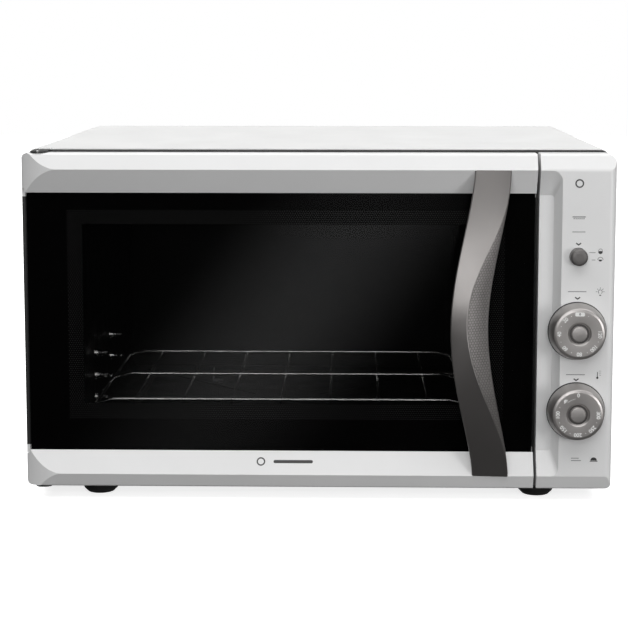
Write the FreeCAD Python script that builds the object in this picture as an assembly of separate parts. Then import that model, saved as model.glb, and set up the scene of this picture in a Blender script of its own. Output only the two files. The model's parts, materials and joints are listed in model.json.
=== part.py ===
import FreeCAD, Part
# Countertop electric oven with a side-hinged glass door. Millimetres, +Z up, front faces -Y.
# Origin: centre of the footprint (door handle front to wall spacers) on the surface it stands on.
import math
import os
from FreeCAD import Vector

# Driving dimensions
FRONT_W = 580.0            # across the door and the control fascia
HEIGHT = 348.0             # feet to cabinet top
DEPTH = 512.0              # handle front to wall spacer ends
FRONT_Z0, FRONT_Z1 = 14.0, 345.0
HALF_W = FRONT_W / 2
Y_HANDLE = -DEPTH / 2      # foremost point of the handle
Y_CREST = Y_HANDLE + 32.0  # ridge of the front bars
Y_GLASS = Y_CREST + 12.0   # outer face of the door glass
Y_DOOR_BACK = Y_CREST + 27.2
Y_FRAME = Y_CREST + 32.0   # front face of the black front frame
Y_BODY = Y_FRAME + 2.4     # front face of the control bodies, behind their bracket
Y_REAR = 235.0             # rear edge of the cabinet shell
DOOR_X1 = 213.4
GAP = 3.0                  # slit between door and fascia
FASCIA_X0 = DOOR_X1 + GAP
TOP_CREST_Z, TOP_LIP_Z = 329.6, 304.4
LOW_CREST_Z, LOW_LIP_Z = 27.7, 51.0
PIVOT_X, PIVOT_Y = -273.5, -210.0
PIN_R = 3.0
RUN_FIT = 0.05             # radial clearance of a running fit
CABINET_X = 287.0
SHEET = 0.9
CAVITY_X0, CAVITY_X1 = -238.0, 161.0
CAVITY_Z0, CAVITY_Z1 = 50.0, 315.0
CAVITY_Y1 = 215.0
SHIELD_X = 176.0
KNOB_X = 253.4
TIMER_Z, THERMO_Z, BUTTON_Z = 173.0, 93.6, 246.0
KNOB_R, KNOB_FACE_R, KNOB_TALL = 28.0, 24.15, 19.0
BUTTON_R = 8.35
RACK_X0, RACK_X1 = -229.5, 152.5
RACK_Y0, RACK_Y1 = -151.0, 113.5
RAIL_R, CROSS_R, LONG_R = 2.5, 2.0, 1.5
RAIL_Z, CROSS_Z = 82.5, 87.5
LATCH_X, LATCH_Z = 198.0, 180.0
CORD_X, CORD_Z = 240.0, 46.0
STUD_R = 3.0
ELEMENT_R = 3.4
UPPER_Z, LOWER_Z = 302.0, 60.0
LEGS = [("upper", -125.0, UPPER_Z), ("upper", 155.0, UPPER_Z), ("grill", -65.0, UPPER_Z),
        ("grill", 95.0, UPPER_Z), ("lower", -100.0, LOWER_Z), ("lower", 120.0, LOWER_Z)]
LAMP_Y, LAMP_Z = 150.0, 235.0
BULB_Y, BULB_Z = -60.0, 285.0  # thermostat bulb
FOOT_X, FOOT_R = 220.0, 18.5
FOOT_YS = (-180.5, 190.0)
HANDLE_X = 170.15
MID = (CAVITY_X0 + CAVITY_X1) / 2

os.makedirs("parts", exist_ok=True)


def save(name, shape):
    shape.exportStep("parts/" + name + ".step")
    solids = len(shape.Solids)
    print(f"{name:24s} solids {solids:3d}  volume {shape.Volume:11.0f}  valid {shape.isValid()}")


def box(x0, x1, y0, y1, z0, z1):
    return Part.makeBox(x1 - x0, y1 - y0, z1 - z0, Vector(x0, y0, z0))


def rod(start, end, radius):
    start = Vector(*start)
    run = Vector(*end) - start
    return Part.makeCylinder(radius, run.Length, start, run)


def outline(corners, place):
    """Closed wire through (u, v, radius) corners, each rounded by its own radius."""
    edges = []
    count = len(corners)
    last_end = None
    first_start = None
    for i, (u, v, radius) in enumerate(corners):
        corner = Vector(u, v, 0)
        before = Vector(*corners[i - 1][:2], 0) - corner
        after = Vector(*corners[(i + 1) % count][:2], 0) - corner
        before.normalize()
        after.normalize()
        half = before.getAngle(after) / 2
        start = corner + before * (radius / math.tan(half))
        end = corner + after * (radius / math.tan(half))
        if last_end is not None:
            edges.append(Part.LineSegment(place(last_end), place(start)).toShape())
        if radius > 0:
            bisector = before + after
            bisector.normalize()
            middle = corner + bisector * (radius / math.sin(half) - radius)
            edges.append(Part.Arc(place(start), place(middle), place(end)).toShape())
        first_start = first_start or start
        last_end = end
    edges.append(Part.LineSegment(place(last_end), place(first_start)).toShape())
    return Part.Wire(edges)


def prism(corners, plane, low, high):
    """Extrusion of a rounded outline. plane xz runs along Y, yz along X, xy along Z."""
    places = {
        "xz": (lambda p: Vector(p.x, low, p.y), Vector(0, high - low, 0)),
        "yz": (lambda p: Vector(low, p.x, p.y), Vector(high - low, 0, 0)),
        "xy": (lambda p: Vector(p.x, p.y, low), Vector(0, 0, high - low)),
    }
    place, run = places[plane]
    return Part.Face(outline(corners, place)).extrude(run)


def rectangle(u0, u1, v0, v1, radius=0.0):
    return [(u0, v0, radius), (u1, v0, radius), (u1, v1, radius), (u0, v1, radius)]


def turned(profile, axis_x, axis_z, start_y):
    """Solid of revolution about a Y axis. profile holds (y offset towards the front, radius)."""
    points = [Vector(axis_x + r, start_y - y, axis_z) for y, r in profile]
    points.append(points[0])
    face = Part.Face(Part.makePolygon(points))
    return face.revolve(Vector(axis_x, start_y, axis_z), Vector(0, 1, 0), 360)


def tube(points, radius, bend):
    """Round bar along straight runs joined by arcs of the bend radius."""
    points = [Vector(*p) for p in points]
    edges = []
    last = points[0]
    for before, corner, after in zip(points, points[1:], points[2:]):
        back = before - corner
        ahead = after - corner
        back.normalize()
        ahead.normalize()
        half = back.getAngle(ahead) / 2
        start = corner + back * (bend / math.tan(half))
        end = corner + ahead * (bend / math.tan(half))
        bisector = back + ahead
        bisector.normalize()
        middle = corner + bisector * (bend / math.sin(half) - bend)
        edges.append(Part.LineSegment(last, start).toShape())
        edges.append(Part.Arc(start, middle, end).toShape())
        last = end
    edges.append(Part.LineSegment(last, points[-1]).toShape())
    run = points[1] - points[0]
    section = Part.Wire([Part.makeCircle(radius, points[0], run)])
    return Part.Wire(edges).makePipeShell([section], True, False)


def mitred_bar(points, radius):
    """Round bar along straight runs that meet in mitres."""
    points = [Vector(*p) for p in points]
    runs = [Part.LineSegment(a, b).toShape() for a, b in zip(points, points[1:])]
    shell = Part.BRepOffsetAPI.MakePipeShell(Part.Wire(runs))
    shell.add(Part.Wire([Part.makeCircle(radius, points[0], points[1] - points[0])]))
    shell.setTransitionMode(1)
    shell.build()
    shell.makeSolid()
    return shell.shape()


def joined(shapes):
    whole = shapes[0]
    for shape in shapes[1:]:
        whole = whole.fuse(shape)
    return whole.removeSplitter()


def without(shape, tools):
    for tool in tools:
        shape = shape.cut(tool)
    return shape


# ---- Front faces of the door bars and the fascia ----------------------------------------------

TOP_SECTION = [
    (Y_DOOR_BACK, 301.9, 0), (Y_DOOR_BACK, FRONT_Z1, 1.0), (Y_CREST + 8.0, FRONT_Z1, 3.5),
    (Y_CREST, TOP_CREST_Z, 0.6), (Y_GLASS - 0.3, TOP_LIP_Z, 0.5), (Y_GLASS - 0.3, 310.2, 0),
    (Y_GLASS + 4.3, 310.2, 0), (Y_GLASS + 4.3, 301.9, 0),
]
LOW_SECTION = [
    (Y_DOOR_BACK, 53.4, 0), (Y_GLASS + 4.3, 53.4, 0), (Y_GLASS + 4.3, 45.2, 0),
    (Y_GLASS - 0.3, 45.2, 0), (Y_GLASS - 0.3, LOW_LIP_Z, 0.5), (Y_CREST, LOW_CREST_Z, 0.6),
    (Y_CREST + 5.0, FRONT_Z0, 2.5), (Y_DOOR_BACK, FRONT_Z0, 1.0),
]


def door_plan():
    """Footprint of the door: straight front, left end rounded so that it clears the frame."""
    bend_start = Vector(-252, Y_CREST, 0)
    big_centre = Vector(-252, Y_CREST + 57.0, 0)
    small_centre = Vector(-282, Y_CREST + 57.0 - 38.74, 0)
    heading = small_centre - big_centre
    heading.normalize()
    big_end = big_centre + heading * 57.0
    half_angle = math.atan2(30.0, 38.74) / 2
    big_mid = big_centre + Vector(-math.sin(half_angle), -math.cos(half_angle), 0) * 57.0
    small_end = Vector(-HALF_W, small_centre.y, 0)
    turn = (math.pi / 2 + 2 * half_angle) / 2
    small_mid = small_centre + Vector(-math.sin(turn), -math.cos(turn), 0) * 8.0
    back_start = Vector(-277, Y_DOOR_BACK, 0)
    edges = [
        Part.Arc(bend_start, big_mid, big_end).toShape(),
        Part.Arc(big_end, small_mid, small_end).toShape(),
        Part.Arc(small_end, Vector(-285.9, -199.6, 0), back_start).toShape(),
        Part.LineSegment(back_start, Vector(DOOR_X1, Y_DOOR_BACK, 0)).toShape(),
        Part.LineSegment(Vector(DOOR_X1, Y_DOOR_BACK, 0), Vector(DOOR_X1, Y_CREST, 0)).toShape(),
        Part.LineSegment(Vector(DOOR_X1, Y_CREST, 0), bend_start).toShape(),
    ]
    return Part.Face(Part.Wire(edges)).extrude(Vector(0, 0, HEIGHT))


DOOR_PLAN = door_plan()
DOOR_FRONT = prism([
    (-HALF_W, FRONT_Z0, 5.0), (DOOR_X1, FRONT_Z0, 0.6), (DOOR_X1, FRONT_Z1, 0.6),
    (-HALF_W, FRONT_Z1, 7.0),
], "xz", Y_HANDLE, Y_FRAME)


def hinge_hole(z0, z1):
    return rod((PIVOT_X, PIVOT_Y, z0), (PIVOT_X, PIVOT_Y, z1), PIN_R + RUN_FIT)


SCREW_XS = (HANDLE_X - 9.0, HANDLE_X + 9.0)
SCREW_ZS = (36.3, 321.0)


def handle_screw_holes(radius):
    return [rod((x, Y_CREST - 1.7, z), (x, Y_CREST + 16, z), radius) for x in SCREW_XS for z in SCREW_ZS]


def door_bars():
    top = prism(TOP_SECTION, "yz", -HALF_W - 2, DOOR_X1).common(DOOR_PLAN).common(DOOR_FRONT)
    low = prism(LOW_SECTION, "yz", -HALF_W - 2, DOOR_X1).common(DOOR_PLAN).common(DOOR_FRONT)
    top = without(top, [box(-255, 209, Y_CREST + 15, Y_FRAME, 313, 341), hinge_hole(320, 346)])
    low = without(low, [box(-255, 209, Y_CREST + 15, Y_FRAME, 18, 42), hinge_hole(10, 36)])
    return without(top, handle_screw_holes(2.0)), without(low, handle_screw_holes(2.0))


def door_stiles():
    y0, y1 = Y_GLASS + 4.3, Y_DOOR_BACK
    left = box(-HALF_W, -258, y0, y1, 53.4, 301.9).common(DOOR_PLAN)
    right = box(193, DOOR_X1 - 0.4, y0, y1, 53.4, 301.9)
    return left, right


def control_fascia():
    body = prism([
        (Y_FRAME - 0.2, FRONT_Z0, 0), (Y_FRAME - 0.2, FRONT_Z1, 1.0), (Y_CREST + 8.0, FRONT_Z1, 3.5),
        (Y_CREST, TOP_CREST_Z, 6.0), (Y_CREST, LOW_CREST_Z, 2.0), (Y_CREST + 5.0, FRONT_Z0, 2.5),
    ], "yz", FASCIA_X0, HALF_W)
    body = body.common(prism([
        (FASCIA_X0, Y_CREST, 0), (HALF_W, Y_CREST, 7.0), (HALF_W, Y_FRAME, 0), (FASCIA_X0, Y_FRAME, 0),
    ], "xy", FRONT_Z0, FRONT_Z1))
    body = body.common(prism([
        (FASCIA_X0, FRONT_Z0, 0.6), (HALF_W, FRONT_Z0, 7.0), (HALF_W, FRONT_Z1, 9.0),
        (FASCIA_X0, FRONT_Z1, 0.6),
    ], "xz", Y_HANDLE, Y_FRAME))
    wires = []
    for ahead in (0.0, 14.0):
        grow = ahead / 12.0
        x1 = 230.6 + 6.8 * grow
        z0 = LOW_LIP_Z - (LOW_LIP_Z - LOW_CREST_Z) * grow
        z1 = TOP_LIP_Z + (TOP_CREST_Z - TOP_LIP_Z) * grow
        ring = [(180, z0, 2.0), (x1, z0, 3.0 + 5.0 * grow), (x1, z1, 3.0 + 8.0 * grow), (180, z1, 2.0)]
        wires.append(outline(ring, lambda p, y=Y_GLASS - ahead: Vector(p.x, y, p.y)))
    body = body.cut(Part.makeLoft(wires, True, True))
    hollow = joined([
        box(240.8, 286.8, Y_CREST + 3.5, Y_FRAME, 32, 327),
        box(219, 286.8, Y_GLASS + 3.5, Y_FRAME, 18, 340),
    ])
    holes = [hollow, rod((KNOB_X, Y_HANDLE, BUTTON_Z), (KNOB_X, Y_FRAME, BUTTON_Z), BUTTON_R + 0.3)]
    for z in (TIMER_Z, THERMO_Z):
        holes.append(rod((KNOB_X, Y_HANDLE, z), (KNOB_X, Y_FRAME, z), 6.0))
    return without(body, holes)


# ---- Handle ---------------------------------------------------------------------------------

def handle_section(share):
    """Corner points of the handle at a height share (0 low end, 1 top end): X, Y pairs and Z."""
    z = LOW_CREST_Z + share * (TOP_CREST_Z - LOW_CREST_Z)
    swell = math.sin(math.pi * share)
    centre = HANDLE_X - 23.1 * abs(swell) ** 1.5
    half = 17.75 + 1.1 * swell
    front = Y_CREST - 2.0 - 30.0 * swell
    reach = (share - 0.54) / 0.40 if share > 0.54 else (0.54 - share) / 0.54
    ridge = -3.5 + 21.4 * (1 - math.cos(math.pi * min(reach, 1.0))) / 2
    ridge = min(ridge, half - 0.8)
    left_front = (centre - half, front + 1.6)
    ridge_point = (centre + ridge, front)
    right_front = (centre + half, front + 0.42 * (half - ridge) + 0.3)
    right_back = (centre + half - 2.0, front + 12.0)
    left_back = (centre - half + 2.5, front + 12.0)
    return z, [left_front, ridge_point, right_front, right_back, left_back]


def handle_parts(top_bar, low_bar):
    sections = []
    for step in range(17):
        z, points = handle_section(step / 16)
        ring = [Vector(x, y, z) for x, y in points]
        sections.append(Part.makePolygon(ring + ring[:1]))
    body = Part.makeLoft(sections, True, False)
    body = without(body, [top_bar, low_bar] + handle_screw_holes(1.85))
    pads = []
    for step in range(12):
        z, points = handle_section(0.10 + 0.77 * step / 11)
        (rx, ry), (dx, dy) = points[1], points[2]
        ring = [(rx + 0.8, ry - 3), (dx - 0.9, dy - 3), (dx - 0.9, dy + 1.1), (rx + 0.8, ry + 1.3)]
        ring = [Vector(x, y, z) for x, y in ring]
        pads.append(Part.makePolygon(ring + ring[:1]))
    pad = Part.makeLoft(pads, True, False)
    return largest(body.cut(pad)), largest(body.common(pad))


def largest(shape):
    return max(shape.Solids, key=lambda solid: solid.Volume)


def handle_screws():
    screws = []
    for x in SCREW_XS:
        for z in SCREW_ZS:
            shank = rod((x, Y_CREST - 1.4, z), (x, Y_CREST + 15.1, z), 1.8)
            head = rod((x, Y_CREST + 15.1, z), (x, Y_CREST + 17.2, z), 3.4)
            screws.append(shank.fuse(head))
    return Part.Compound(screws)


# ---- Door inner parts --------------------------------------------------------------------------

def frame_ring(x0, x1, z0, z1, width, y0, y1, radius):
    outer = prism(rectangle(x0, x1, z0, z1, radius), "xz", y0, y1)
    inner = rectangle(x0 + width, x1 - width, z0 + width, z1 - width, max(radius - width, 3.0))
    return outer.cut(prism(inner, "xz", y0 - 1, y1 + 1))


def inner_panel():
    panel = prism(rectangle(-279, 211, 20, 339, 4.0), "xz", Y_DOOR_BACK + 0.2, Y_DOOR_BACK + 1.6)
    panel = panel.cut(prism(rectangle(-233, 170, 93, 277, 8.0), "xz", Y_CREST, Y_FRAME))
    return panel.cut(rod((LATCH_X, Y_CREST, LATCH_Z), (LATCH_X, Y_FRAME, LATCH_Z), 2.5))


def glass_clips():
    clips = []
    for z in (112.0, 260.0):
        for edge, outward in ((-252.0, -1), (188.0, 1)):
            xs = sorted((edge + outward * 0.3, edge + outward * 2.2))
            tips = sorted((edge - outward * 6.0, edge + outward * 2.2))
            leg = box(*xs, Y_DOOR_BACK - 4.2, Y_DOOR_BACK + 0.1, z - 9, z + 9)
            clips.append(leg.fuse(box(*tips, Y_DOOR_BACK - 4.2, Y_DOOR_BACK - 3.2, z - 9, z + 9)))
    return Part.Compound(clips)


def latch_stud():
    profile = [(0, 0), (0, 2.2), (9.0, 2.2), (9.0, 5), (10.2, 5), (10.2, 2.2), (11.4, 2.2), (11.4, 0)]
    shank = turned(profile, LATCH_X, LATCH_Z, Y_FRAME + 7.0)
    tip = Part.makeSphere(3.2, Vector(LATCH_X, Y_FRAME + 7.0, LATCH_Z))
    return shank.fuse(tip)


def latch_clip():
    z0, z1 = LATCH_Z - 8.0, LATCH_Z + 8.0
    leaves = [box(LATCH_X - 5.0, LATCH_X + 5.0, Y_FRAME + 15, Y_FRAME + 16, z0, z1)]
    for side in (-1, 1):
        x0, x1 = sorted((LATCH_X + side * 4.0, LATCH_X + side * 5.0))
        leaves.append(box(x0, x1, Y_FRAME + 1.05, Y_FRAME + 16, z0, z1))
        tab0, tab1 = sorted((LATCH_X + side * 4.0, LATCH_X + side * 14.0))
        leaves.append(box(tab0, tab1, Y_FRAME + 1.05, Y_FRAME + 2.0, z0, z1))
    return joined(leaves)


def hinge_pin(z0, z1):
    return rod((PIVOT_X, PIVOT_Y, z0), (PIVOT_X, PIVOT_Y, z1), PIN_R)


def hinge_brackets():
    x0, x1 = PIVOT_X - 7.0, PIVOT_X + 9.0
    nose_y, tail_y = PIVOT_Y - 6.5, Y_FRAME + 2.2
    upper = prism([(x0, nose_y, 6), (x1, nose_y, 6), (x1, tail_y, 0), (x0, tail_y, 0)], "xy", 345.4, 346.6)
    upper = upper.fuse(box(x0, x1, Y_FRAME + 1.05, tail_y, 322, 346.6)).cut(hinge_hole(340, 348))
    lower = prism([(x0, nose_y, 6), (x1, nose_y, 6), (x1, -150, 3), (x0, -150, 3)], "xy", 12.2, 13.4)
    lower = lower.fuse(box(x0, x1, -188, -150, 13.4, 14.4)).cut(hinge_hole(10, 16))
    return upper, lower


# ---- Cabinet ------------------------------------------------------------------------------------

def cabinet_outline(inset, low):
    x = CABINET_X - inset
    top = HEIGHT - inset
    return [(-x, low, 0), (x, low, 0), (x, top, 9.0 - inset), (-x, top, 9.0 - inset)]


REAR_SCREWS = [(x, z) for x in (-280.5, 280.5) for z in (40.0, 180.0, 310.0)]
REAR_SCREWS += [(x, 341.5) for x in (-140.0, 140.0)]
SIDE_SCREW_YS, SIDE_SCREW_Z = (-150.0, 20.0, 190.0), 24.0


def side_screw_holes():
    return [rod((-290, y, SIDE_SCREW_Z), (290, y, SIDE_SCREW_Z), 1.8) for y in SIDE_SCREW_YS]


def side_slots(x0, x1, first_y, count, z0, z1):
    return [prism(rectangle(first_y + 12 * i, first_y + 12 * i + 4, z0, z1, 1.9), "yz", x0, x1)
            for i in range(count)]


def cabinet_shell():
    shell = prism(cabinet_outline(0, 14.5), "xz", Y_FRAME + 1.05, Y_REAR)
    shell = shell.cut(prism(cabinet_outline(SHEET, 0), "xz", Y_FRAME, Y_REAR - SHEET))
    shell = shell.cut(prism(cabinet_outline(13.0 - 5.0, 0), "xz", Y_FRAME, Y_REAR + 1))
    slots = []
    for z0, z1 in ((60.0, 90.0), (252.0, 282.0)):
        slots += side_slots(285, 289, 40.0, 14, z0, z1)
        slots += side_slots(-289, -285, 40.0, 14, z0, z1)
    slots += [rod((x, 220, z), (x, 240, z), 1.8) for x, z in REAR_SCREWS]
    slots += side_screw_holes()
    return without(shell, slots)


def base_panel():
    panel = box(-286, 286, Y_FRAME + 1.1, 233.9, 14.5, 15.7)
    panel = panel.fuse(box(-286, -284.9, Y_FRAME + 1.1, 233.9, 14.5, 34))
    panel = panel.fuse(box(284.9, 286, Y_FRAME + 1.1, 233.9, 14.5, 34))
    cuts = [rod((side * FOOT_X, y, 10), (side * FOOT_X, y, 20), 4.1) for side in (-1, 1) for y in FOOT_YS]
    cuts += side_screw_holes()
    for row in range(3):
        for i in range(12):
            x = 188 + 7.5 * i
            cuts.append(box(x, x + 3.5, -120 + 90 * row, -70 + 90 * row, 10, 20))
    return without(panel, cuts)


def rear_panel():
    panel = prism(cabinet_outline(0, 14.5), "xz", Y_REAR, Y_REAR + 1.2)
    cuts = [rod((x, 220, z), (x, 240, z), 1.8) for x, z in REAR_SCREWS]
    cuts.append(rod((CORD_X, 220, CORD_Z), (CORD_X, 240, CORD_Z), 9.0))
    for column in (-1, 1):
        for i in range(9):
            z = 120 + 14 * i
            slot = rectangle(column * 130 - 45, column * 130 + 45, z, z + 5, 2.4)
            cuts.append(prism(slot, "xz", 230, 240))
    for i in range(6):
        z = 90 + 14 * i
        cuts.append(prism(rectangle(215, 265, z, z + 5, 2.4), "xz", 230, 240))
    for x in (-200.0, 200.0):
        cuts.append(rod((x, 220, 285), (x, 240, 285), 3.1))
    return without(panel, cuts)


def front_frame():
    plate = prism([(-286, 16, 1), (286, 16, 1), (286, 347, 8), (-286, 347, 8)],
                  "xz", Y_FRAME, Y_FRAME + 1.0)
    cuts = [
        prism(rectangle(CAVITY_X0, CAVITY_X1, CAVITY_Z0, CAVITY_Z1, 8.0), "xz", -200, -180),
        box(222, 280, -200, -180, 34, 328),
        box(PIVOT_X - 7.2, PIVOT_X + 9.2, -200, -180, 345.2, 348),
        rod((LATCH_X, -200, LATCH_Z), (LATCH_X, -180, LATCH_Z), 4.0),
    ]
    return without(plate, cuts)



def oven_chamber():
    t = 1.0
    shell = prism(rectangle(CAVITY_X0 - t, CAVITY_X1 + t, CAVITY_Z0 - t, CAVITY_Z1 + t, 9.0),
                  "xz", Y_FRAME + 1.05, CAVITY_Y1 + t)
    shell = shell.cut(prism(rectangle(CAVITY_X0, CAVITY_X1, CAVITY_Z0, CAVITY_Z1, 8.0),
                            "xz", -200, CAVITY_Y1))
    cuts = [rod((160, y, z), (172, y, z), 4.5) for _, y, z in LEGS]
    cuts.append(rod((160, LAMP_Y, LAMP_Z), (172, LAMP_Y, LAMP_Z), 19.0))
    cuts.append(rod((160, BULB_Y, BULB_Z), (172, BULB_Y, BULB_Z), 2.5))
    shell = without(shell, cuts)
    ribs = []
    for sx in (-1, 1):
        for sy in (-1, 1):
            start = (MID + sx * 38, 12 + sy * 38, CAVITY_Z0 - 0.6)
            end = (MID + sx * 178, 12 + sy * 178, CAVITY_Z0 - 0.6)
            ribs.append(rod(start, end, 1.6))
    return joined([shell] + ribs)


def insulation():
    blanket = box(-262, CAVITY_X1 + 1, Y_FRAME + 6, 232, 52, 338)
    return blanket.cut(box(CAVITY_X0 - 1.2, CAVITY_X1 + 3, -200, 216.3, 40, 316.3))


def heat_shield():
    sheet = box(SHIELD_X, SHIELD_X + 1, Y_FRAME + 6, 230, 18, 342)
    sheet = sheet.fuse(box(SHIELD_X, SHIELD_X + 12, Y_FRAME + 6, 230, 15.8, 17))
    sheet = sheet.fuse(box(SHIELD_X, SHIELD_X + 1, Y_FRAME + 6, 230, 16.8, 18.2))
    cuts = [rod((170, y, z), (180, y, z), 8.6) for _, y, z in LEGS]
    cuts.append(rod((170, LAMP_Y, LAMP_Z), (180, LAMP_Y, LAMP_Z), 17.0))
    cuts.append(rod((170, BULB_Y, BULB_Z), (180, BULB_Y, BULB_Z), 3.0))
    return without(sheet, cuts)


def feet():
    group = []
    for side in (-1, 1):
        for y in FOOT_YS:
            x = side * FOOT_X
            profile = [(0, 0), (13.5, 0), (17.0, 3.5), (FOOT_R, 7.5), (FOOT_R, 13.5), (9, 13.5),
                       (9, 14.4), (4.0, 14.4), (4.0, 18), (4.8, 19), (3.0, 22), (0, 22)]
            points = [Vector(x + r, y, z) for r, z in profile]
            face = Part.Face(Part.makePolygon(points + points[:1]))
            group.append(face.revolve(Vector(x, y, 0), Vector(0, 0, 1), 360))
    return Part.Compound(group)


def wall_spacers():
    group = []
    for x in (-200.0, 200.0):
        y = Y_REAR + 1.2
        peg = rod((x, y - 3.5, 285), (x, y, 285), 3.0)
        group.append(joined([peg, box(x - 20, x + 20, y, y + 3, 273, 297),
                             box(x - 20, x + 20, y + 3, DEPTH / 2, 283.5, 286.5),
                             box(x - 1.5, x + 1.5, y + 3, DEPTH / 2, 273, 297)]))
    return Part.Compound(group)


def cord_inlet():
    profile = [(0, 3.7), (0, 9.6), (1.5, 10.5), (1.5, 8.8), (3.0, 8.8), (3.0, 12), (7.0, 10.5),
               (10.0, 7.0), (10.0, 3.7)]
    points = [Vector(CORD_X + r, Y_REAR - 1.6 + y, CORD_Z) for y, r in profile]
    face = Part.Face(Part.makePolygon(points + points[:1]))
    return face.revolve(Vector(CORD_X, Y_REAR, CORD_Z), Vector(0, 1, 0), 360)


def screws(places, direction):
    """Pan-head screws. places are points under the head; direction points out of the head."""
    group = []
    way = Vector(*direction)
    for place in places:
        base = Vector(*place)
        head = Part.makeCylinder(3.6, 1.8, base, way)
        shank = Part.makeCylinder(1.7, 7.0, base - way * 7.0, way)
        slot = Part.makeBox(8, 8, 0.9, Vector(-4, -4, -0.45))
        slot.translate(base + way * 5.0)
        group.append(head.fuse(shank).cut(slot))
    return Part.Compound(group)


# ---- Heating, light and controls ----------------------------------------------------------------

def element(y0, y1, z, far_x, bend):
    return tube([(194, y0, z), (far_x, y0, z), (far_x, y1, z), (194, y1, z)], ELEMENT_R, bend)


def element_bushes():
    rings = []
    for _, y, z in LEGS:
        collar = rod((CAVITY_X1 + 1.05, y, z), (SHIELD_X - 0.2, y, z), 7.5)
        rings.append(collar.cut(rod((160, y, z), (180, y, z), ELEMENT_R + RUN_FIT)))
    return Part.Compound(rings)


def element_terminals():
    return Part.Compound([box(194, 206, y - 3.1, y + 3.1, z - 0.5, z + 0.5) for _, y, z in LEGS])


def element_clips():
    clips = []
    for kind, y, z in LEGS:
        z0, z1 = (CAVITY_Z0 + 0.8, z + 5.5) if kind == "lower" else (z - 5.5, CAVITY_Z1)
        strap = box(-130, -129, y - 6, y + 6, z0, z1)
        foot = box(-130, -118, y - 6, y + 6, *((z0, z0 + 1) if kind == "lower" else (z1 - 1, z1)))
        strap = strap.fuse(foot)
        clips.append(strap.cut(rod((-140, y, z), (-100, y, z), ELEMENT_R + RUN_FIT)))
    return Part.Compound(clips)


def lamp_parts():
    cover = Part.makeSphere(22.0, Vector(174, LAMP_Y, LAMP_Z))
    cover = cover.cut(Part.makeSphere(20.0, Vector(174, LAMP_Y, LAMP_Z)))
    cover = cover.common(box(140, CAVITY_X1 - 0.1, 100, 200, 180, 300))
    rim = rod((CAVITY_X1 - 2.1, LAMP_Y, LAMP_Z), (CAVITY_X1 - 0.1, LAMP_Y, LAMP_Z), 25.0)
    rim = rim.cut(rod((150, LAMP_Y, LAMP_Z), (180, LAMP_Y, LAMP_Z), 18.5))
    bulb_profile = [(169.0, 0), (170.0, 4.5), (172.5, 8.0), (176.0, 10.4), (180.0, 11.0), (184.0, 10.0),
                    (188.0, 7.6), (191.0, 6.5), (205.0, 6.5), (205.0, 0)]
    bulb_points = [Vector(x, LAMP_Y, LAMP_Z + r) for x, r in bulb_profile]
    bulb_face = Part.Face(Part.makePolygon(bulb_points + bulb_points[:1]))
    bulb = bulb_face.revolve(Vector(0, LAMP_Y, LAMP_Z), Vector(1, 0, 0), 360)
    holder = rod((192, LAMP_Y, LAMP_Z), (214, LAMP_Y, LAMP_Z), 12.0)
    holder = holder.cut(rod((190, LAMP_Y, LAMP_Z), (205.2, LAMP_Y, LAMP_Z), 6.6))
    bracket = box(SHIELD_X + 1.05, SHIELD_X + 2.2, LAMP_Y - 28, LAMP_Y + 28, LAMP_Z - 20, LAMP_Z + 20)
    bracket = bracket.cut(rod((170, LAMP_Y, LAMP_Z), (182, LAMP_Y, LAMP_Z), 17.0))
    arms = [box(SHIELD_X + 2.2, 214, LAMP_Y + s * 20 - 1, LAMP_Y + s * 20 + 1, LAMP_Z - 6, LAMP_Z + 6)
            for s in (-1, 1)]
    plate = box(214, 215.5, LAMP_Y - 21, LAMP_Y + 21, LAMP_Z - 12, LAMP_Z + 12)
    return cover.fuse(rim), bulb, holder, joined([bracket] + arms + [plate])


def control_bracket():
    plate = box(214, 284, Y_FRAME + 1.1, Y_FRAME + 2.3, 24, 338)
    plate = plate.fuse(box(282.8, 284, Y_FRAME + 2.3, Y_FRAME + 14, 24, 338))
    cuts = [rod((KNOB_X, -200, z), (KNOB_X, -180, z), 5.1) for z in (TIMER_Z, THERMO_Z)]
    cuts.append(rod((KNOB_X, -200, BUTTON_Z), (KNOB_X, -180, BUTTON_Z), 4.1))
    return without(plate, cuts)


def timer_body():
    drum = rod((KNOB_X, Y_BODY, TIMER_Z), (KNOB_X, Y_BODY + 30, TIMER_Z), 23.0)
    bell = rod((KNOB_X, Y_BODY + 30, TIMER_Z), (KNOB_X, Y_BODY + 37, TIMER_Z), 17.0)
    nose = rod((KNOB_X, Y_BODY - 8, TIMER_Z), (KNOB_X, Y_BODY, TIMER_Z), 5.0)
    bore = rod((KNOB_X, Y_BODY - 9, TIMER_Z), (KNOB_X, Y_BODY + 12, TIMER_Z), PIN_R + RUN_FIT)
    return joined([drum, bell, nose]).cut(bore)


def thermostat_body():
    block = box(KNOB_X - 18, KNOB_X + 18, Y_BODY, Y_BODY + 26, THERMO_Z - 22, THERMO_Z + 22)
    nose = rod((KNOB_X, Y_BODY - 8, THERMO_Z), (KNOB_X, Y_BODY, THERMO_Z), 5.0)
    tabs = [box(KNOB_X - 3 + s * 10, KNOB_X + 3 + s * 10, Y_BODY + 26, Y_BODY + 36,
                THERMO_Z - 0.4, THERMO_Z + 0.4) for s in (-1, 1)]
    bore = rod((KNOB_X, Y_BODY - 9, THERMO_Z), (KNOB_X, Y_BODY + 12, THERMO_Z), PIN_R + RUN_FIT)
    return joined([block, nose] + tabs).cut(bore)


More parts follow.
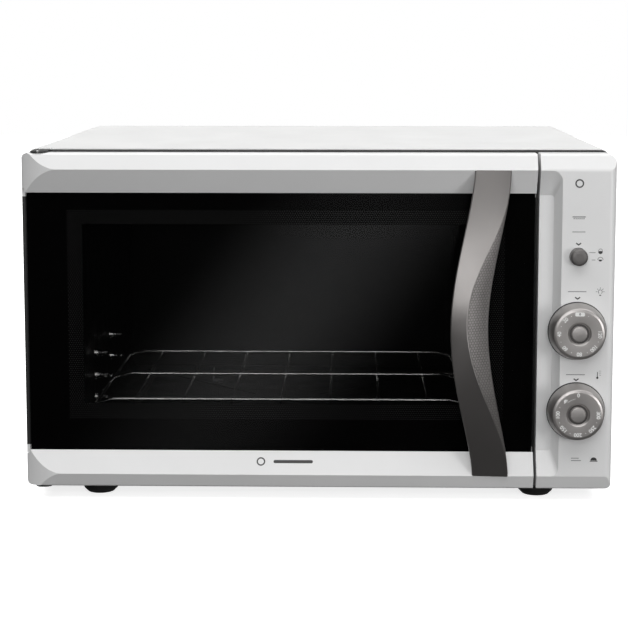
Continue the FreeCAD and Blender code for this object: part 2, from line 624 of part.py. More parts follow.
def grill_switch():
    block = box(KNOB_X - 9, KNOB_X + 9, Y_BODY, Y_BODY + 24, BUTTON_Z - 13, BUTTON_Z + 13)
    nose = rod((KNOB_X, Y_BODY - 4, BUTTON_Z), (KNOB_X, Y_BODY, BUTTON_Z), 4.0)
    bore = rod((KNOB_X, Y_BODY - 9, BUTTON_Z), (KNOB_X, Y_BODY + 16, BUTTON_Z), PIN_R + RUN_FIT)
    return block.fuse(nose).cut(bore)


def control_shaft(z):
    return rod((KNOB_X, Y_CREST - 13, z), (KNOB_X, Y_BODY + 11, z), PIN_R)


def dial_knob(z):
    profile = [(0, 0), (0, KNOB_R - 1), (1, KNOB_R), (3.5, KNOB_R), (9, KNOB_R - 1.0),
               (KNOB_TALL - 1.2, KNOB_FACE_R + 0.5), (KNOB_TALL, KNOB_FACE_R - 0.7),
               (KNOB_TALL, 11.3), (KNOB_TALL - 2.6, 10.9), (KNOB_TALL - 2.6, 0)]
    body = turned(profile, KNOB_X, z, Y_CREST - 0.6)
    hub = rod((KNOB_X, Y_CREST - 0.6, z), (KNOB_X, Y_CREST + 4.0, z), 4.8)
    body = body.fuse(hub)
    body = body.cut(rod((KNOB_X, Y_CREST - 13.2, z), (KNOB_X, Y_CREST + 5, z), PIN_R + RUN_FIT))
    return body


def knob_cap(z):
    floor = Y_CREST - 0.6 - (KNOB_TALL - 2.6)
    return turned([(0.02, 0), (0.02, 7.2), (2.2, 7.2), (2.8, 6.5), (2.8, 0)], KNOB_X, z, floor)


def grill_button():
    profile = [(0, 0), (0, 10.2), (2.5, 10.2), (2.5, BUTTON_R), (26.5, BUTTON_R),
               (28.2, BUTTON_R - 1.2), (28.6, 4.0), (28.8, 0)]
    return turned(profile, KNOB_X, BUTTON_Z, -204.6)


def button_spring():
    height = 12.2
    helix = Part.makeHelix(2.52, height, 5.1)
    ring = Part.Wire([Part.makeCircle(0.5, Vector(5.1, 0, 0), Vector(0, 1, 0))])
    coil = Part.Wire(helix.Edges).makePipeShell([ring], True, True)
    coil.rotate(Vector(0, 0, 0), Vector(1, 0, 0), 90)
    coil.translate(Vector(KNOB_X, -191.6, BUTTON_Z))
    return coil


def capillary():
    line = tube([(KNOB_X - 18, -176, THERMO_Z + 8), (214, -176, THERMO_Z + 8), (200, -150, 190),
                 (196, BULB_Y, BULB_Z), (158, BULB_Y, BULB_Z), (158, BULB_Y + 22, BULB_Z)], 0.8, 7.0)
    sensor = rod((158, BULB_Y + 20, BULB_Z), (158, BULB_Y + 110, BULB_Z), 3.0)
    return joined([line, sensor])


def wiring_loom():
    return tube([(246, 185, 38), (246, 120, 60), (236, -60, 70), (230, -120, 130), (230, -150, 215),
                 (240, -166.4, 240)], 2.6, 16.0)


def terminal_block():
    block = box(230, 262, 178, 202, 15.8, 34)
    wells = [rod((237 + 9 * i, 190, 24), (237 + 9 * i, 190, 40), 2.4) for i in range(3)]
    return without(block, wells)


# ---- Rack and its studs ---------------------------------------------------------------------

def wire_rack():
    wires = []
    for x in (RACK_X0, RACK_X1):
        wires.append(rod((x, RACK_Y0 - 4.5, RAIL_Z), (x, RACK_Y1 + 4.5, RAIL_Z), RAIL_R))
    for y in (RACK_Y0, (RACK_Y0 + RACK_Y1) / 2, RACK_Y1):
        wires.append(mitred_bar([(RACK_X0, y, RAIL_Z), (RACK_X0 + 19, y, CROSS_Z),
                                 (RACK_X1 - 19, y, CROSS_Z), (RACK_X1, y, RAIL_Z)], CROSS_R))
    for i in range(-3, 4):
        x = (RACK_X0 + RACK_X1) / 2 + 50.4 * i
        z = CROSS_Z - CROSS_R - LONG_R + 0.7
        wires.append(rod((x, RACK_Y0 - 1, z), (x, RACK_Y1 + 1, z), LONG_R))
    return joined(wires)


def rack_studs():
    studs = []
    for level in range(3):
        z = RAIL_Z - RAIL_R - STUD_R - 0.3 + 24.0 * level
        for y in (-93.0, 18.0):
            for x, way in ((CAVITY_X0, 1), (CAVITY_X1, -1)):
                profile = [(0, 0), (0, 5.0), (3.5, 4.4), (7.0, STUD_R), (13.6, STUD_R), (14.6, 2.0),
                           (14.6, 0)]
                points = [Vector(x + way * run, y, z + r) for run, r in profile]
                face = Part.Face(Part.makePolygon(points + points[:1]))
                studs.append(face.revolve(Vector(x, y, z), Vector(1, 0, 0), 360))
    return Part.Compound(studs)


# ---- Everything ---------------------------------------------------------------------------------

top_bar, low_bar = door_bars()
left_stile, right_stile = door_stiles()
handle_body, handle_insert = handle_parts(top_bar, low_bar)
upper_bracket, lower_bracket = hinge_brackets()
lamp_cover, lamp_bulb, lamp_holder, lamp_bracket = lamp_parts()
left_screws = screws([(-CABINET_X, y, SIDE_SCREW_Z) for y in SIDE_SCREW_YS], (-1, 0, 0))
right_screws = screws([(CABINET_X, y, SIDE_SCREW_Z) for y in SIDE_SCREW_YS], (1, 0, 0))

nodes = {
    "cabinet_shell": cabinet_shell(),
    "base_panel": base_panel(),
    "rear_panel": rear_panel(),
    "front_frame": front_frame(),
    "oven_chamber": oven_chamber(),
    "insulation_blanket": insulation(),
    "heat_shield": heat_shield(),
    "control_fascia": control_fascia(),
    "control_bracket": control_bracket(),
    "feet": feet(),
    "wall_spacers": wall_spacers(),
    "cord_inlet_bush": cord_inlet(),
    "side_screws": Part.Compound([left_screws, right_screws]),
    "rear_screws": screws([(x, Y_REAR + 1.2, z) for x, z in REAR_SCREWS], (0, 1, 0)),
    "upper_hinge_bracket": upper_bracket,
    "lower_hinge_bracket": lower_bracket,
    "latch_clip": latch_clip(),
    "door_top_bar": top_bar,
    "door_bottom_bar": low_bar,
    "door_left_stile": left_stile,
    "door_right_stile": right_stile,
    "door_outer_glass": prism(rectangle(-286, 213, 46, 309.6, 1.0), "xz", Y_GLASS, Y_GLASS + 4.0),
    "door_inner_glass": prism(rectangle(-252, 188, 76, 294, 3.0), "xz",
                              Y_DOOR_BACK - 3.1, Y_DOOR_BACK + 0.1),
    "door_inner_panel": inner_panel(),
    "door_gasket": frame_ring(-254, 178, 33, 332, 10, Y_DOOR_BACK + 1.6, Y_FRAME - 0.5, 14.0),
    "inner_glass_clips": glass_clips(),
    "door_handle": handle_body,
    "handle_grip_insert": handle_insert,
    "handle_screws": handle_screws(),
    "upper_hinge_pin": hinge_pin(320.2, 347.3),
    "lower_hinge_pin": hinge_pin(11.4, 35.8),
    "latch_stud": latch_stud(),
    "timer_body": timer_body(),
    "timer_shaft": control_shaft(TIMER_Z),
    "timer_knob": dial_knob(TIMER_Z),
    "timer_knob_cap": knob_cap(TIMER_Z),
    "thermostat_body": thermostat_body(),
    "thermostat_shaft": control_shaft(THERMO_Z),
    "thermostat_knob": dial_knob(THERMO_Z),
    "thermostat_knob_cap": knob_cap(THERMO_Z),
    "thermostat_capillary": capillary(),
    "grill_switch_body": grill_switch(),
    "grill_button": grill_button(),
    "grill_plunger": rod((KNOB_X, -204.6, BUTTON_Z), (KNOB_X, Y_BODY + 10, BUTTON_Z), PIN_R),
    "grill_button_spring": button_spring(),
    "upper_element": element(-125.0, 155.0, UPPER_Z, -208, 22.0),
    "grill_element": element(-65.0, 95.0, UPPER_Z, -180, 22.0),
    "lower_element": element(-100.0, 120.0, LOWER_Z, -200, 22.0),
    "element_bushes": element_bushes(),
    "element_terminals": element_terminals(),
    "element_clips": element_clips(),
    "lamp_cover": lamp_cover,
    "lamp_bulb": lamp_bulb,
    "lamp_socket": lamp_holder,
    "lamp_bracket": lamp_bracket,
    "terminal_block": terminal_block(),
    "wiring_loom": wiring_loom(),
    "wire_rack": wire_rack(),
    "rack_studs": rack_studs(),
}
for name, shape in nodes.items():
    save(name, shape)
print(len(nodes), "nodes")
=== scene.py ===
import json
import math

import bmesh
import bpy
from mathutils import Matrix, Vector


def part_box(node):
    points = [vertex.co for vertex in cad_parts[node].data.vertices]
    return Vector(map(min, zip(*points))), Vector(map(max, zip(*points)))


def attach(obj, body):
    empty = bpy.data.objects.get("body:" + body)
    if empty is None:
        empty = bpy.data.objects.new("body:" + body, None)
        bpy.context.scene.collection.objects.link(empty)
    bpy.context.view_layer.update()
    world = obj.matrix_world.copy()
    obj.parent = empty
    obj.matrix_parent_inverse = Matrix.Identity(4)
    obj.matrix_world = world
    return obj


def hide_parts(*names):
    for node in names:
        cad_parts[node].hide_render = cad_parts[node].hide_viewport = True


# Countertop electric oven with a side-hinged glass door: materials, fine pieces, light and camera
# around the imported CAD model. Metres, +Z up, front faces -Y.

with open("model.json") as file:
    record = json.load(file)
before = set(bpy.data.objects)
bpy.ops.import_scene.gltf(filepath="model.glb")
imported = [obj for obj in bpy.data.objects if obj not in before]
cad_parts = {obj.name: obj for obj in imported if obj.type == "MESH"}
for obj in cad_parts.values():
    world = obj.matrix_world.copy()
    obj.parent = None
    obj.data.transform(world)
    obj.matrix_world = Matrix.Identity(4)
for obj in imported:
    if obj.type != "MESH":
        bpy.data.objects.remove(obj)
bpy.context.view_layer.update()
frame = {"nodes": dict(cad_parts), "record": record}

MM = 0.001
OUTER_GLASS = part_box("door_outer_glass")
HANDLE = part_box("door_handle")
TIMER, THERMO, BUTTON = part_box("timer_knob"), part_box("thermostat_knob"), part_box("grill_button")

CREST_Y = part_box("door_top_bar")[0].y
FASCIA_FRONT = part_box("control_fascia")[0].y
KNOB_X = (TIMER[0].x + TIMER[1].x) / 2


# ---- Shaders ------------------------------------------------------------------------------------

class Shader:
    """One procedural material: a Principled shader and the textures that feed it."""

    def __init__(self, name, **values):
        self.material = bpy.data.materials.new(name)
        self.material.use_nodes = True
        self.tree = self.material.node_tree
        self.surface = self.tree.nodes["Principled BSDF"]
        for socket, value in values.items():
            self.set(socket.replace("_", " "), value)
        self.place = self.node("TexCoord").outputs["Object"]

    def set(self, socket, value):
        names = {name.lower(): name for name in self.surface.inputs.keys()}
        self._feed(self.surface.inputs[names[socket.lower()]], value)

    def _feed(self, socket, value):
        if isinstance(value, bpy.types.NodeSocket):
            self.tree.links.new(value, socket)
        else:
            socket.default_value = value

    def node(self, kind, inputs=None, **settings):
        node = self.tree.nodes.new("ShaderNode" + kind)
        for key, value in settings.items():
            setattr(node, key, value)
        for key, value in (inputs or {}).items():
            self._feed(node.inputs[key], value)
        return node

    def noise(self, size, detail=3.0, stretch=(1, 1, 1)):
        """Soft noise whose blobs are about this size across, in metres."""
        place = self.node("Mapping", {"Vector": self.place, "Scale": stretch}).outputs[0]
        return self.node("TexNoise", {"Vector": place, "Scale": 0.5 / size, "Detail": detail}).outputs[0]

    def cells(self, size, feature="F1", output="Distance"):
        return self.node("TexVoronoi", {"Vector": self.place, "Scale": 1 / size},
                         feature=feature).outputs[output]

    def ramp(self, factor, *stops):
        """Colour or grey stops (position, value) along a factor."""
        node = self.node("ValToRGB", {"Fac": factor})
        ramp = node.color_ramp
        while len(ramp.elements) < len(stops):
            ramp.elements.new(0.5)
        for element, (position, value) in zip(ramp.elements, stops):
            element.position = position
            element.color = (*value, 1) if isinstance(value, tuple) else (value, value, value, 1)
        return node.outputs["Color"]

    def colour(self, factor, dark, light):
        self.set("Base Color", self.ramp(factor, (0.3, dark), (0.7, light)))

    def rough(self, factor, low, high):
        self.set("Roughness", self.ramp(factor, (0.3, low), (0.7, high)))

    def bump(self, height, depth, strength=1.0):
        """Relief of this depth in metres, added over any relief already there."""
        inputs = {"Height": height, "Distance": depth, "Strength": strength}
        if self.surface.inputs["Normal"].links:
            inputs["Normal"] = self.surface.inputs["Normal"].links[0].from_socket
        self.set("Normal", self.node("Bump", inputs).outputs[0])


def shade(colour, factor):
    return tuple(c * factor for c in colour)


def moulded(name, colour, rough, grain=0.0009, relief=0.00001, mottle=0.04, **values):
    """Moulded plastic: even colour with a slight drift, fine grain, roughness that varies a little."""
    shader = Shader(name, **values)
    shader.colour(shader.noise(0.03), shade(colour, 1 - mottle), shade(colour, 1 + mottle))
    shader.rough(shader.noise(0.012), rough * 0.92, rough * 1.08)
    shader.bump(shader.noise(grain, 2.0), relief)
    return shader.material


def coated(name, colour, rough, peel=0.0016, relief=0.00002, **values):
    """Powder coat or enamel on sheet: orange-peel relief and faint specks."""
    shader = Shader(name, **values)
    specks = shader.ramp(shader.cells(0.0012), (0.0, shade(colour, 0.93)), (0.25, colour))
    drift = shader.ramp(shader.noise(0.06), (0.3, 0.97), (0.7, 1.0))
    mix = shader.node("Mix", {"Factor": 1.0, 6: specks, 7: drift}, data_type="RGBA", blend_type="MULTIPLY")
    shader.set("Base Color", mix.outputs[2])
    shader.rough(shader.noise(0.02), rough * 0.9, rough * 1.12)
    shader.bump(shader.noise(peel, 2.0), relief)
    return shader.material


def metal(name, colour, rough, grain=(1, 1, 1), size=0.001, relief=0.000005):
    """Bare or plated metal with a directional grain and faint tarnish."""
    shader = Shader(name, metallic=1.0)
    shader.colour(shader.noise(0.02, 5.0), shade(colour, 0.88), colour)
    streak = shader.noise(size, 2.0, grain)
    shader.rough(streak, rough * 0.75, rough * 1.3)
    shader.bump(streak, relief)
    return shader.material


def galvanised(name):
    """Zinc sheet with its crystal spangle."""
    shader = Shader(name, metallic=1.0)
    spangle = shader.cells(0.011, output="Color")
    grey = shader.node("SeparateColor", {"Color": spangle}).outputs[0]
    shader.set("Base Color", shader.ramp(grey, (0.0, (0.42, 0.43, 0.45)), (1.0, (0.62, 0.63, 0.64))))
    shader.set("Roughness", shader.ramp(grey, (0.0, 0.32), (1.0, 0.5)))
    shader.bump(shader.noise(0.0008, 2.0), 0.000006)
    return shader.material


def glass(name, tint, alpha, specular):
    """Tempered glass as a see-through film: its tint, its gloss and very faint waviness."""
    shader = Shader(name, alpha=alpha, specular_ior_level=specular)
    shader.colour(shader.noise(0.1), shade(tint, 0.9), tint)
    shader.rough(shader.noise(0.05), 0.03, 0.05)
    shader.bump(shader.noise(0.08, 1.0), 0.00002, 0.3)
    return shader.material


def wool_blanket(name):
    """Loose yellow insulation wool."""
    shader = Shader(name, roughness=0.95, sheen_weight=0.4)
    fibre = shader.noise(0.0012, 6.0, (1, 3, 1))
    shader.colour(fibre, (0.5, 0.42, 0.24), (0.86, 0.8, 0.6))
    shader.bump(fibre, 0.0008)
    return shader.material


def grip_texture(name, colour):
    """Soft-touch plastic for the textured facet of the handle."""
    shader = Shader(name, metallic=0.35)
    shader.colour(shader.noise(0.004), shade(colour, 0.85), shade(colour, 1.1))
    shader.rough(shader.noise(0.002), 0.42, 0.6)
    shader.bump(shader.noise(0.0006, 2.0), 0.00002)
    return shader.material


def enamel(name, base, fleck):
    """Black cavity enamel: nearly matt, with fine lighter flecks."""
    shader = Shader(name, specular_ior_level=0.1)
    flecks = shader.ramp(shader.cells(0.0022), (0.05, fleck), (0.16, base))
    shader.set("Base Color", flecks)
    shader.rough(shader.noise(0.01), 0.3, 0.42)
    shader.bump(shader.noise(0.003, 2.0), 0.00002)
    return shader.material


MATERIALS = {
    "white_panel": coated("white_panel", (0.82, 0.82, 0.815), 0.38),
    "white_plastic": moulded("white_plastic", (0.8, 0.8, 0.8), 0.3, mottle=0.015, specular_ior_level=0.4),
    "black_enamel": coated("black_enamel", (0.012, 0.012, 0.012), 0.35),
    "cavity_steel": enamel("cavity_steel", (0.006, 0.006, 0.006), (0.016, 0.016, 0.016)),
    "zinc_sheet": galvanised("zinc_sheet"),
    "dark_glass": glass("dark_glass", (0.001, 0.001, 0.001), 0.3, 0.25),
    "clear_glass": glass("clear_glass", (0.03, 0.032, 0.032), 0.05, 0.2),
    "grey_plastic": moulded("grey_plastic", (0.3, 0.285, 0.275), 0.36, metallic=0.6),
    "grey_grip": grip_texture("grey_grip", (0.125, 0.118, 0.114)),
    "black_plastic": moulded("black_plastic", (0.014, 0.014, 0.014), 0.5, relief=0.00002),
    "feet_rubber": moulded("feet_rubber", (0.012, 0.012, 0.012), 0.75, grain=0.0006, relief=0.00003),
    "gasket_rubber": moulded("gasket_rubber", (0.025, 0.025, 0.025), 0.65, relief=0.00003),
    "chrome_wire": metal("chrome_wire", (0.86, 0.86, 0.85), 0.16, (1, 1, 1), 0.004),
    "screw_steel": metal("screw_steel", (0.66, 0.66, 0.65), 0.3),
    "element_steel": metal("element_steel", (0.2, 0.19, 0.18), 0.5, size=0.002),
    "ceramic": moulded("ceramic", (0.6, 0.58, 0.54), 0.7, relief=0.00004),
    "wool": wool_blanket("wool"),
    "brass_terminal": metal("brass_terminal", (0.74, 0.58, 0.28), 0.32),
    "switch_body": moulded("switch_body", (0.7, 0.67, 0.6), 0.5),
    "wire_cover": moulded("wire_cover", (0.42, 0.06, 0.05), 0.45),
}
# Dark ink for the printed marks; it also colours the black ring round each knob's base, a painted shadow
# gap.
DARK_INK_AND_SHADE = moulded("dark_ink_and_shade", (0.035, 0.034, 0.034), 0.45)
FAINT_INK = moulded("faint_ink", (0.17, 0.17, 0.17), 0.45)
WHITE_INK = moulded("white_ink", (0.85, 0.85, 0.84), 0.5)
GLASS_PRINT = moulded("glass_print", (0.001, 0.001, 0.001), 0.6, specular_ior_level=0.05)
DOT_PRINT = moulded("dot_print", (0.03, 0.03, 0.03), 0.5)

HEAT_MIRROR_IOR = 3.0       # a strongly reflecting film on the inner glass


def paint(node, material):
    for material_slot in frame["nodes"][node].material_slots:
        material_slot.material = material


for part in frame["record"]["subparts"]:
    paint(part["node"], MATERIALS[part["material_slot"]])
heat_mirror = glass("heat_mirror_glass", (0.03, 0.032, 0.032), 0.08, 1.0)
heat_mirror.node_tree.nodes["Principled BSDF"].inputs["IOR"].default_value = HEAT_MIRROR_IOR
paint("door_inner_glass", heat_mirror)
paint("lamp_cover", glass("lamp_glass", (0.04, 0.042, 0.042), 0.9, 0.2))


# ---- Mesh helpers -------------------------------------------------------------------------------

def piece(name, bm, body, material, smooth_below=35.0):
    """Turns a bmesh into a finished piece that rides on a CAD body."""
    bmesh.ops.recalc_face_normals(bm, faces=bm.faces)
    mesh = bpy.data.meshes.new(name)
    bm.to_mesh(mesh)
    bm.free()
    mesh.shade_smooth()
    mesh.set_sharp_from_angle(angle=math.radians(smooth_below))
    mesh.materials.append(material)
    obj = bpy.data.objects.new(name, mesh)
    bpy.context.scene.collection.objects.link(obj)
    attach(obj, body)
    return obj


def rounded(corners, steps, closed=True):
    """2D corners (u, v, radius) turned into a point list with each corner rounded."""
    points = []
    count = len(corners)
    for i, (u, v, radius) in enumerate(corners):
        here = Vector((u, v))
        if radius == 0 or (not closed and i in (0, count - 1)):
            points.append(here)
            continue
        before = (Vector(corners[i - 1][:2]) - here).normalized()
        after = (Vector(corners[(i + 1) % count][:2]) - here).normalized()
        half = before.angle(after) / 2
        reach = radius / math.tan(half)
        centre = here + (before + after).normalized() * (radius / math.sin(half))
        start, end = here + before * reach - centre, here + after * reach - centre
        turn = start.angle_signed(end)
        for step in range(steps + 1):
            points.append(centre + Matrix.Rotation(-turn * step / steps, 2) @ start)
    return points


def bridge(bm, rings):
    """Quads between successive closed rings of vertices."""
    for low, high in zip(rings, rings[1:]):
        for i in range(len(low)):
            j = (i + 1) % len(low)
            bm.faces.new((low[i], low[j], high[j], high[i]))


def lathe(profile, centre, segments=128):
    """Revolves (radius, distance in front of the centre) in mm about a Y axis through the centre."""
    bm = bmesh.new()
    rings = []
    for radius, ahead in [(r * MM, h * MM) for r, h in profile]:
        ring = []
        for i in range(segments):
            turn = 2 * math.pi * i / segments
            offset = Vector((radius * math.sin(turn), -ahead, radius * math.cos(turn)))
            ring.append(bm.verts.new(centre + offset))
        rings.append(ring)
    bridge(bm, rings)
    for ring in (rings[0], rings[-1]):
        bm.faces.new(ring)
    return bm


def facing(x, y, z):
    """Places a drawing made in (right, up) on a surface that faces the front."""
    return Matrix.Translation((x, y, z)) @ Matrix.Rotation(math.pi / 2, 4, "X")


class Drawing:
    """Flat printed marks, drawn in millimetres as (right, up) and given the thickness of ink."""

    INK = 0.08

    def __init__(self):
        self.bm = bmesh.new()

    def shape(self, points, place, thick=INK):
        low = [self.bm.verts.new(place @ Vector((u * MM, v * MM, 0))) for u, v in points]
        high = [self.bm.verts.new(place @ Vector((u * MM, v * MM, thick * MM))) for u, v in points]
        bridge(self.bm, [low, high])
        self.bm.faces.new(low)
        self.bm.faces.new(high)

    def disc(self, u, v, radius, place, sides=24, start=0.0, sweep=2 * math.pi):
        angles = [start + sweep * i / sides for i in range(sides + (sweep < 6.28))]
        self.shape([(u + radius * math.cos(a), v + radius * math.sin(a)) for a in angles], place)

    def bar(self, u0, u1, v0, v1, place, radius=0.0):
        corners = [(u0, v0, radius), (u1, v0, radius), (u1, v1, radius), (u0, v1, radius)]
        self.shape(rounded(corners, 5) if radius else [c[:2] for c in corners], place)

    def stroke(self, points, width, place):
        """A line of even width through the points, with mitred corners."""
        points = [Vector(p) for p in points]
        left, right = [], []
        runs = [(b - a).normalized() for a, b in zip(points, points[1:])]
        for point, behind, ahead in zip(points, runs[:1] + runs, runs + runs[-1:]):
            along = (ahead + behind).normalized()
            out = Vector((-along.y, along.x)) * width / 2 / along.dot(ahead)
            left.append(point + out)
            right.append(point - out)
        self.shape([tuple(p) for p in left + right[::-1]], place)

    def arc(self, u, v, radius, start, sweep, width, place, steps=20):
        angles = [math.radians(start + sweep * i / steps) for i in range(steps + 1)]
        self.stroke([(u + radius * math.cos(a), v + radius * math.sin(a)) for a in angles], width, place)

    def number(self, text, size, place):
        curve = bpy.data.curves.new("number", "FONT")
        curve.body, curve.size, curve.extrude = text, size * MM, self.INK * MM / 2
        curve.align_x, curve.align_y = "CENTER", "CENTER"
        curve.offset = 0.02 * size * MM
        obj = bpy.data.objects.new("number", curve)
        mesh = bpy.data.meshes.new_from_object(obj)
        mesh.transform(place)
        self.bm.from_mesh(mesh)
        bpy.data.objects.remove(obj)
        bpy.data.meshes.remove(mesh)
        bpy.data.curves.remove(curve)

    def finish(self, name, body, slot, material):
        return piece(name, self.bm, body, material)


# ---- Handle -------------------------------------------------------------------------------------

HANDLE_LOW_Z, HANDLE_HIGH_Z = HANDLE[0].z, HANDLE[1].z
HANDLE_HALF, HANDLE_SWELL = 17.75, 1.1        # half width at the ends and what is added midway, in mm
HANDLE_END_X = HANDLE[1].x - HANDLE_HALF * MM
HANDLE_DEPTH = 12 * MM
BOW_SIDE, BOW_FRONT = 23.1 * MM, 30.0 * MM    # how far the middle bows to the left and forwards
STATIONS = 140
GRIP_START, GRIP_END = 0.10, 0.87             # shares of the handle's height
GRIP_ROWS, GRIP_COLUMNS = 560, 46
PIT_PITCH, PIT_DEPTH, PIT_REACH = 2.9 * MM, 0.5 * MM, 0.36


def handle_corners(share):
    """The handle's section at a height share: left, ridge and right front corners, then the back."""
    swell = math.sin(math.pi * share)
    centre = HANDLE_END_X - BOW_SIDE * abs(swell) ** 1.5
    half = (HANDLE_HALF + HANDLE_SWELL * swell) * MM
    front = CREST_Y - 2.0 * MM - BOW_FRONT * swell
    reach = (share - 0.54) / 0.40 if share > 0.54 else (0.54 - share) / 0.54
    ridge = (-3.5 + 21.4 * (1 - math.cos(math.pi * min(reach, 1.0))) / 2) * MM
    ridge = min(ridge, half - 0.8 * MM)
    fall = 0.42 * (half - ridge) + 0.3 * MM
    return [
        Vector((centre - half, front + 1.6 * MM)), Vector((centre + ridge, front)),
        Vector((centre + half, front + fall)), Vector((centre + half - 2 * MM, front + HANDLE_DEPTH)),
        Vector((centre - half + 2.5 * MM, front + HANDLE_DEPTH)),
    ]


def handle_height(share):
    return HANDLE_LOW_Z + share * (HANDLE_HIGH_Z - HANDLE_LOW_Z)


def handle_body():
    bm = bmesh.new()
    rings = []
    for i in range(STATIONS + 1):
        share = i / STATIONS
        left, ridge, right, right_back, left_back = handle_corners(share)
        soft = 0.5 + 7.0 * max(0.0, 0.5 - share)
        room = min((ridge - left).length, (right - ridge).length) * 0.8 / MM
        radii = (1.3, min(soft, room), min(1.0, room), 1.5, 1.5)
        corners = [(*p, r * MM) for p, r in zip((left, ridge, right, right_back, left_back), radii)]
        z = handle_height(share)
        rings.append([bm.verts.new((p.x, p.y, z)) for p in rounded(corners, 5)])
    bridge(bm, rings)
    bm.faces.new(rings[0])
    bm.faces.new(rings[-1])
    ends = {round(HANDLE_LOW_Z, 6), round(HANDLE_HIGH_Z, 6)}
    rims = [e for e in bm.edges if len({round(v.co.z, 6) for v in e.verts}) == 1
            and round(e.verts[0].co.z, 6) in ends]
    bmesh.ops.bevel(bm, geom=rims, offset=0.5 * MM, segments=2, affect="EDGES")
    body = piece("handle_shell", bm, "door", HANDLE_GREY, 30)
    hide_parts("door_handle")


def pit(u, v):
    """Depth from 0 to 1 of a staggered field of round pits, for a point in metres."""
    row_pitch = PIT_PITCH * math.sqrt(3) / 2
    best = 1.0
    row0 = math.floor(v / row_pitch)
    for row in (row0, row0 + 1):
        shift = 0.5 * PIT_PITCH * (row % 2)
        column = round((u - shift) / PIT_PITCH)
        du, dv = u - shift - column * PIT_PITCH, v - row * row_pitch
        best = min(best, math.hypot(du, dv) / (PIT_REACH * PIT_PITCH))
    return max(0.0, 1 - best ** 2)


def handle_grip():
    bm = bmesh.new()
    rings = []
    for i in range(GRIP_ROWS + 1):
        share = GRIP_START + (GRIP_END - GRIP_START) * i / GRIP_ROWS
        _, ridge, right, _, _ = handle_corners(share)
        across = right - ridge
        outward = Vector((across.y, -across.x)).normalized()
        inset = min(0.9 * MM, across.length * 0.2)
        start, end = ridge + across.normalized() * inset, right - across.normalized() * (1.7 * inset)
        fade = min(1.0, (i / GRIP_ROWS) / 0.12, (1 - i / GRIP_ROWS) / 0.06)
        z = handle_height(share)
        ring = [bm.verts.new((start.x - outward.x * MM, start.y - outward.y * MM, z))]
        for j in range(GRIP_COLUMNS + 1):
            point = start.lerp(end, j / GRIP_COLUMNS)
            border = min(1.0, 6 * j / GRIP_COLUMNS, 6 * (1 - j / GRIP_COLUMNS))
            sink = PIT_DEPTH * pit((point - right).length, z) * fade * border
            point = point + outward * (0.06 * MM - sink)
            ring.append(bm.verts.new((point.x, point.y, z)))
        ring.append(bm.verts.new((end.x - outward.x * MM, end.y - outward.y * MM, z)))
        rings.append(ring)
    bridge(bm, rings)
    bm.faces.new(rings[0])
    bm.faces.new(rings[-1])
    grip = piece("handle_grip", bm, "door", MATERIALS["grey_grip"], 60)
    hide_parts("handle_grip_insert")


HANDLE_GREY = moulded("handle_grey", (0.2, 0.19, 0.185), 0.3, metallic=0.7, mottle=0.03)
handle_body()
handle_grip()


# ---- Knobs and button ---------------------------------------------------------------------------

# Dark grey for a disc just proud of each knob groove's bottom: painted shade in the recess.
GROOVE_SHADE_GREY = moulded("groove_painted_shade", (0.07, 0.066, 0.064), 0.4, metallic=0.3)
KNOB_GREY = moulded("knob_grey", (0.42, 0.4, 0.39), 0.36, metallic=0.75)
FACE_R, RING_R, DISC_R = 24.0, 11.2, 7.2      # knob face, groove and centre disc, in mm
NUMBER_R, NUMBER_SIZE, TICK_R = 19.4, 5.2, 0.42
AXIS_R = 0.2                                  # lathed profiles stop this far from the axis, in mm
CLOCHE = 318                                  # clock angle of the thermostat's low-heat mark


def knob(name, body, node_box, nodes):
    """A dished knob, with a dark grey disc in its groove as painted shade and a black ring round its base
    as a painted shadow gap. Returns the place of its face, for printing.
    """
    low, high = node_box
    radius = (high.x - low.x) / 2 / MM
    tall = (FASCIA_FRONT - low.y) / MM
    centre = Vector((KNOB_X, FASCIA_FRONT, (low.z + high.z) / 2))
    corners = [
        (0, 0.6, 0), (radius - 1.2, 0.6, 0), (radius, 1.6, 0.8), (radius - 0.1, 3.6, 1.0),
        (radius - 1.0, 9.0, 4.0), (FACE_R + 0.9, tall - 0.9, 1.6), (FACE_R - 1.8, tall - 0.1, 1.2),
        (RING_R + 0.3, tall - 0.1, 0.3), (RING_R - 1.6, tall - 2.3, 1.4),
        (DISC_R + 0.4, tall - 2.3, 1.0), (DISC_R, tall - 0.6, 0.5), (0, tall - 0.4, 0),
    ]
    profile = [(max(p.x, AXIS_R), p.y) for p in rounded(corners, 5, closed=False)]
    shell = piece(name, lathe(profile, centre), body, KNOB_GREY, 40)
    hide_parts(*nodes)
    # A dark grey disc standing just in front of the groove's bottom: painted shade in the recess.
    low_h, high_h = tall - 2.6, tall - 2.1
    groove = [(AXIS_R, low_h), (RING_R - 0.9, low_h), (RING_R - 0.9, high_h), (AXIS_R, high_h)]
    piece(name + "_groove_shade", lathe(groove, centre), body, GROOVE_SHADE_GREY, 40)
    # A thin black ring on the fascia round the knob's base: painted shadow in the gap behind the knob.
    shadow_gap_ring = [(AXIS_R, 0.02), (radius + 0.5, 0.02), (radius + 0.7, 0.45), (AXIS_R, 0.5)]
    piece(name + "_shadow_gap_ring", lathe(shadow_gap_ring, centre), "housing", DARK_INK_AND_SHADE, 40)
    return facing(centre.x, centre.y - (tall - 0.1) * MM, centre.z)


def around(clock):
    """Turns a drawing so that up points outward at this clock angle (degrees from the top)."""
    return Matrix.Rotation(-math.radians(clock), 4, "Z") @ Matrix.Translation((0, NUMBER_R * MM, 0))


def dial_print(face, numbers, ticks):
    drawing = Drawing()
    for clock, text in numbers:
        drawing.number(text, NUMBER_SIZE, face @ around(clock))
    for clock in ticks:
        drawing.disc(0, 0, TICK_R, face @ around(clock), sides=12)
    return drawing


